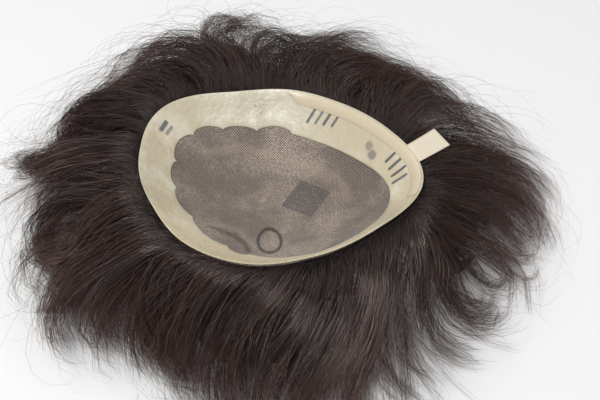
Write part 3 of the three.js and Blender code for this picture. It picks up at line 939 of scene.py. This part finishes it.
def underHairMaterial():
    # streaks along the grain: noise that is read finely across it and hardly at all along it
    material, tree, surface = newMaterial("hairMass", {})
    slowly = maths(tree, "MULTIPLY", perPoint(tree, "along"), 3.0)
    grain = addNode(tree, "ShaderNodeCombineXYZ", {0: perPoint(tree, "across"), 1: slowly}).outputs[0]
    inputs = {"Vector": grain, "Scale": 2.2, "Detail": 4.0}
    streaks = addNode(tree, "ShaderNodeTexNoise", inputs).outputs[0]
    colour = mixColour(tree, rangeOf(tree, streaks, 0.4, 0.75), (0.0035, 0.0022, 0.002, 1),
                       (0.018, 0.009, 0.0075, 1))
    tree.links.new(colour, surface.inputs["Base Color"])
    tree.links.new(rangeOf(tree, streaks, 0.3, 0.8, 0.75, 0.55), surface.inputs["Roughness"])
    addBump(tree, surface, streaks, 0.9, 0.0012)
    return material


def netMaterial():
    material, tree, surface = newMaterial("netWeave", {"Roughness": 0.82, "Sheen Weight": 0.15})
    place = millimetres(tree)
    clouds, cloudSpecks = mottle(tree, place, 42.0)
    grain, specks = mottle(tree, place, 7.0)
    threads = wovenThreads(tree, place, 1.15, 0.66)
    crest = perPoint(tree, "crest")
    colour = mixColour(tree, rangeOf(tree, clouds, 0.36, 0.64), (0.25, 0.205, 0.168, 1),
                       (0.56, 0.455, 0.37, 1))
    # specks and clouds, painted light along the folds' ridges, painted shade in the crease, and the
    # threads
    colour = tinted(tree, colour, [
        (specks, (0.4, 0.62, 0.62, 0.0), (0.12, 0.1, 0.085, 1)),
        (grain, (0.5, 0.68, 0.0, 0.3), (0.16, 0.13, 0.11, 1)),
        # painted light: paler along the folds' ridges
        (crest, (0.0, 1.0, 0.0, 0.35), (0.5, 0.39, 0.3, 1)),
        # painted shade: darker along the crease
        (crest, (-2.0, 0.0, 0.75, 0.0), (0.06, 0.045, 0.035, 1)),
        (threads, (0.35, 0.95, 0.92, 0.0), (0.03, 0.025, 0.022, 1)),
    ])
    # the square patch, in its own turned axes
    patch = vectorMaths(tree, "SUBTRACT", place, (*net["patchCentre"], 0))
    patch = turnedPlace(tree, patch, -net["patchTurn"])
    axes = addNode(tree, "ShaderNodeSeparateXYZ", {0: vectorMaths(tree, "ABSOLUTE", patch)}).outputs
    edge = maths(tree, "MAXIMUM", axes["X"], axes["Y"])
    inPatch = rangeOf(tree, edge, net["patchHalf"] - 0.5, net["patchHalf"] + 0.4, 1.0, 0.0)
    # the ring: how far the place is from an ellipse, in shares of its radii
    flat = vectorMaths(tree, "MULTIPLY", place, (1, 1, 0))
    ringPlace = vectorMaths(tree, "SUBTRACT", flat, (*net["ringCentre"], 0))
    ringPlace = turnedPlace(tree, ringPlace, -net["ringTurn"])
    ringPlace = vectorMaths(tree, "DIVIDE", ringPlace, (*net["ringSize"], 1))
    ringDistance = vectorMaths(tree, "LENGTH", ringPlace, out=1)
    wobble = maths(tree, "MULTIPLY_ADD", cloudSpecks, 0.16, -0.08)
    ringDistance = maths(tree, "ADD", ringDistance, wobble)
    onRing = rangeOf(tree, maths(tree, "ABSOLUTE", maths(tree, "SUBTRACT", ringDistance, 1.0)),
                     0.06, 0.2, 0.88, 0.0)
    inRing = rangeOf(tree, ringDistance, 0.7, 0.95, 1.0, 0.0)
    # pale hair knots, thick in the patch and the ring
    knots = addNode(tree, "ShaderNodeTexVoronoi", {"Vector": place, "Scale": 0.95, "Randomness": 1.0})
    knot = rangeOf(tree, knots.outputs["Distance"], 0.16, 0.34, 1.0, 0.0)
    chosen = addNode(tree, "ShaderNodeSeparateColor", {0: knots.outputs["Color"]}).outputs[0]
    some = maths(tree, "GREATER_THAN", chosen, 0.62)
    knot = maths(tree, "MULTIPLY", knot, some)
    knot = maths(tree, "MULTIPLY", knot, maths(tree, "MAXIMUM", inPatch, inRing))
    colour = mixColour(tree, maths(tree, "MULTIPLY", inPatch, 0.76), colour, (0.08, 0.066, 0.064, 1))
    colour = mixColour(tree, maths(tree, "MULTIPLY", knot, 0.6), colour, (0.5, 0.45, 0.42, 1))
    colour = mixColour(tree, onRing, colour, (0.028, 0.022, 0.022, 1))
    tree.links.new(colour, surface.inputs["Base Color"])
    addBump(tree, surface, maths(tree, "ADD", threads, knot), 0.25, 0.0004)
    return material


skin = {
    # pen strokes as start, end, width and strength, in millimetres in plan
    "strokes": [
        ((13, 52), (19.5, 60.5), 2.6, 0.85), ((18.5, 51), (25, 59), 2.4, 0.75),
        ((24, 49.5), (30, 57), 2.7, 0.85), ((29.5, 48), (35, 54.5), 2.4, 0.8),
        ((66, 20.5), (72.5, 25), 2.6, 0.9), ((68.5, 15.5), (75, 19.5), 2.8, 0.85),
        ((70.5, 10.5), (77, 13.5), 2.5, 0.9), ((71.5, 5.5), (78, 8), 2.7, 0.85),
        ((-76.5, 26), (-75, 32.5), 3.4, 0.85), ((-73, 25.5), (-71.5, 31.5), 2.6, 0.6),
        ((54, 33), (55, 31.5), 5.5, 0.5), ((56.5, 27.5), (57.5, 26), 6.0, 0.6),
    ],
    # where knots of hair show through: middle and radius
    "knots": (-19, 57.5),
    "knotsReach": 6.5,
}


def skinMaterial():
    material, tree, surface = newMaterial("skinFilm", {
        "Coat Weight": 0.4, "Coat Roughness": 0.2, "Subsurface Weight": 0.12, "Subsurface Scale": 0.004})
    place = millimetres(tree)
    flat = vectorMaths(tree, "MULTIPLY", place, (1, 1, 0))
    clouds, specks = mottle(tree, place, 26.0)
    width = perPoint(tree, "width")
    sides = addNode(tree, "ShaderNodeSeparateXYZ", {0: place}).outputs["Y"]
    fromSeam = maths(tree, "ABSOLUTE", maths(tree, "SUBTRACT", width, 0.76))
    colour = mixColour(tree, rangeOf(tree, clouds, 0.38, 0.62), (0.60, 0.515, 0.36, 1),
                       (0.73, 0.665, 0.52, 1))
    # specks, both edges, the near side drawn paler and warmer as painted light and the far side greyer and
    # darker as painted shade, and a faint seam along the rim
    colour = tinted(tree, colour, [
        (specks, (0.5, 0.72, 0.0, 0.5), (0.52, 0.47, 0.36, 1)),
        (width, (0.9, 1.0, 0.0, 0.35), (0.55, 0.42, 0.3, 1)),
        (width, (0.0, 0.05, 0.5, 0.0), (0.42, 0.34, 0.25, 1)),
        (sides, (-58.0, -22.0, 0.75, 0.0), (0.84, 0.71, 0.47, 1)),
        (sides, (20.0, 60.0, 0.0, 0.65), (0.55, 0.5, 0.38, 1)),
        (fromSeam, (0.008, 0.03, 0.3, 0.0), (0.62, 0.45, 0.33, 1)),
    ])
    dots = addNode(tree, "ShaderNodeTexVoronoi", {"Vector": flat, "Scale": 0.85}).outputs["Distance"]
    dots = rangeOf(tree, dots, 0.2, 0.36, 0.7, 0.0)
    away = vectorMaths(tree, "LENGTH", vectorMaths(tree, "SUBTRACT", flat, (*skin["knots"], 0)), out=1)
    near = rangeOf(tree, away, 0.5 * skin["knotsReach"], skin["knotsReach"], 1.0, 0.0)
    colour = mixColour(tree, maths(tree, "MULTIPLY", dots, near), colour, (0.16, 0.14, 0.1, 1))
    total = None
    for start, end, thick, strength in skin["strokes"]:
        stroke = maths(tree, "MULTIPLY", penStroke(tree, flat, start, end, thick), strength)
        total = stroke if total is None else maths(tree, "MAXIMUM", total, stroke)
    colour = mixColour(tree, total, colour, (0.05, 0.06, 0.10, 1))
    tree.links.new(colour, surface.inputs["Base Color"])
    tree.links.new(rangeOf(tree, specks, 0.3, 0.7, 0.25, 0.55), surface.inputs["Roughness"])
    addBump(tree, surface, specks, 0.45, 0.0012)
    return material


def tapeMaterial(name, low, high, roughness):
    material, tree, surface = newMaterial(name, {"Roughness": roughness, "Coat Weight": 0.25})
    clouds, specks = mottle(tree, millimetres(tree), 12.0)
    tree.links.new(mixColour(tree, clouds, low, high), surface.inputs["Base Color"])
    addBump(tree, surface, specks, 0.15, 0.0004)
    return material


# build
buildBorder(skinMaterial())
buildNet(netMaterial())
buildEdgeTape(tapeMaterial("pinkTape", (0.62, 0.53, 0.38, 1), (0.72, 0.62, 0.46, 1), 0.3))
buildTab(tapeMaterial("creamTape", (0.66, 0.58, 0.45, 1), (0.74, 0.66, 0.52, 1), 0.45))
print("base built")

fibre = hairMaterial()
buildUnderHair(underHairMaterial())
buildStrands(fibre)
buildFlyaways(fibre)
print("hair built")

# floor, light and camera
floorHalf = 3000
floorMaterial = newMaterial("paleFloor", {"Roughness": 0.6, "Base Color": (0.85, 0.846, 0.84, 1)})[0]
corners = np.array([(-1, -1, 0), (1, -1, 0), (1, 1, 0), (-1, 1, 0)]) * floorHalf
floorMesh = bpy.data.meshes.new("floor")
floorMesh.from_pydata((corners / 1000).tolist(), [], [(0, 1, 2, 3)])
floorMesh.materials.append(floorMaterial)
floor = bpy.data.objects.new("floor", floorMesh)
scene.collection.objects.link(floor)

world = bpy.data.worlds.new("studio")
scene.world = world
world.use_nodes = True
sky = world.node_tree.nodes["Background"].inputs
sky["Color"].default_value = (0.97, 0.975, 1.0, 1)
sky["Strength"].default_value = 0.25

# name, place in metres, size and power. All of them face the middle of the base.
lights = [
    ("topSoftbox", (-0.35, -0.9, 1.85), 0.8, 34),
    ("leftSoftbox", (-0.95, 0.75, 1.35), 0.8, 5.5),
    ("sideFill", (0.9, 1.2, 1.3), 0.9, 6),
]
lightAim = np.array((0, 0, 0.03))
for name, place, size, power in lights:
    lamp = bpy.data.lights.new(name, "AREA")
    lamp.size = size
    lamp.energy = power
    holder = bpy.data.objects.new(name, lamp)
    holder.location = place
    way = lightAim - np.array(place)
    flatLength = math.hypot(way[0], way[1])
    holder.rotation_euler = (math.atan2(flatLength, -way[2]), 0, math.atan2(way[1], way[0]) - math.pi / 2)
    scene.collection.objects.link(holder)

view = {"azimuth": 9, "elevation": 53.5, "lens": 42, "distance": 430, "aim": (16.8, -2.5, 30)}
azimuth, elevation = math.radians(view["azimuth"]), math.radians(view["elevation"])
back = np.array([math.sin(azimuth) * math.cos(elevation), -math.cos(azimuth) * math.cos(elevation),
                 math.sin(elevation)])
lens = bpy.data.cameras.new("camera")
lens.lens = view["lens"]
lens.sensor_width = 36
camera = bpy.data.objects.new("camera", lens)
camera.location = (np.array(view["aim"]) + back * view["distance"]) / 1000
camera.rotation_euler = (math.pi / 2 - elevation, 0, azimuth)
scene.collection.objects.link(camera)
scene.camera = camera
scene.view_settings.view_transform = "Standard"
print("floor, light and camera ready")

bpy.context.view_layer.update()
